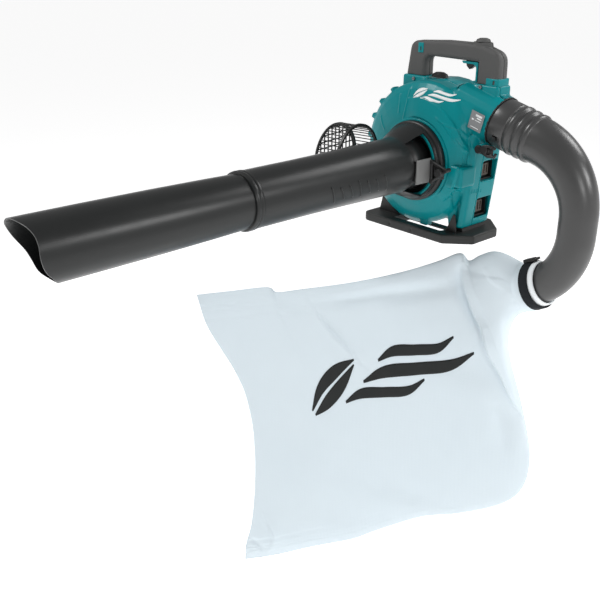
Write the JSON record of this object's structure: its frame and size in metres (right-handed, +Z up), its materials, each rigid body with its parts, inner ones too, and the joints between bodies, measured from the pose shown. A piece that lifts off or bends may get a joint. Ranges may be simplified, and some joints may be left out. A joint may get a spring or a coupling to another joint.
{
  "type": "hand-held blower vacuum",
  "caption": "Hand-held cordless garden blower in vacuum form, with a loop handle, long suction pipe, curved outlet elbow and hanging cloth dust bag.",
  "frame": {"origin": "middle of the foot's underside, straight below the fan's axis", "axes": "+Z up; +X towards the outlet elbow and the battery end; -Y along the suction pipe to its mouth"},
  "size_m": [0.7041, 0.9558, 1.2105],
  "materials": {
    "housing_teal": "satin moulded nylon",
    "handle_grey": "matte soft-touch moulding",
    "pipe_black": "satin blow-moulded",
    "elbow_grey": "satin moulded",
    "foot_grey": "matte moulded",
    "trim_black": "satin moulded",
    "tab_grey": "satin moulded",
    "screw_steel": "zinc-plated",
    "motor_steel": "ground",
    "copper_brown": "enamelled winding and brown moulding",
    "board_green": "lacquered board",
    "fan_plastic": "glass-filled moulding",
    "plate_grey": "printed film",
    "bag_cloth": "woven polyester",
    "strap_web": "woven webbing"
  },
  "bodies": {
    "machine": {"bag_strap": "strap_web", "battery_rail_lower": "trim_black", "battery_rail_upper": "trim_black", "bearing_front": "motor_steel", "bearing_rear": "motor_steel", "bracket_left": "trim_black", "bracket_right": "trim_black", "controller_board": "board_green", "dust_bag": "bag_cloth", "elbow_pipe": "elbow_grey", "elbow_sleeve": "elbow_grey", "elbow_tail": "elbow_grey", "foot_frame": "foot_grey", "grille_pin": "screw_steel", "handle_front_shell": "handle_grey", "handle_rear_shell": "handle_grey", "handle_rest": "trim_black", "handle_trim": "housing_teal", "hinge_knuckle_lower": "trim_black", "hinge_knuckle_upper": "trim_black", "housing_front_shell": "housing_teal", "housing_rear_shell": "housing_teal", "intake_ring": "trim_black", "motor_cover": "housing_teal", "motor_frame": "trim_black", "motor_stator": "copper_brown", "name_plate": "plate_grey", "outlet_collar": "trim_black", "pipe_pad": "tab_grey", "release_pin": "screw_steel", "screw_upper_left": "screw_steel", "screw_upper_right": "screw_steel", "strap_buckle": "trim_black", "suction_pipe": "pipe_black", "terminal_block_lower": "copper_brown", "terminal_block_upper": "copper_brown", "trigger_pin": "screw_steel"},
    "fan": {"impeller": "fan_plastic", "motor_shaft": "motor_steel", "motor_rotor": "motor_steel"},
    "trigger": {"trigger": "trim_black"},
    "dial": {"speed_dial": "handle_grey"},
    "grille": {"intake_grille": "trim_black"},
    "clamp": {"clamp_knob": "trim_black"},
    "nozzle": {"suction_nozzle": "pipe_black"},
    "release": {"release_lever": "trim_black"}
  },
  "joints": [
    {"name": "fan_spin", "type": "hinge", "parent": "machine", "child": "fan", "pos_m": [0, 0, 0.147], "axis": [0, 1, 0], "continuous": true},
    {"name": "trigger_pull", "type": "hinge", "parent": "machine", "child": "trigger", "pos_m": [0.07, 0, 0.336], "axis": [0, 1, 0], "range_deg": [0, 10], "stiffness_Nm_per_rad": 0.4, "springref_deg": -5.73},
    {"name": "dial_turn", "type": "hinge", "parent": "machine", "child": "dial", "pos_m": [0.079, 0, 0.3625], "axis": [0, 0, 1], "range_deg": [0, 150]},
    {"name": "grille_swing", "type": "hinge", "parent": "machine", "child": "grille", "pos_m": [-0.079, -0.0835, 0.147], "axis": [0, 0, -1], "range_deg": [0, 25]},
    {"name": "clamp_turn", "type": "hinge", "parent": "machine", "child": "clamp", "pos_m": [0.0825, -0.1, 0.142], "axis": [0, -1, 0], "range_deg": [0, 360]},
    {"name": "nozzle_twist", "type": "hinge", "parent": "machine", "child": "nozzle", "pos_m": [0, -0.48, 0.147], "axis": [0, 1, 0], "range_deg": [0, 20]},
    {"name": "release_press", "type": "hinge", "parent": "machine", "child": "release", "pos_m": [0.1255, -0.05, 0.185], "axis": [0, 1, 0], "range_deg": [0, 12], "stiffness_Nm_per_rad": 0.3, "springref_deg": -5.73}
  ]
}
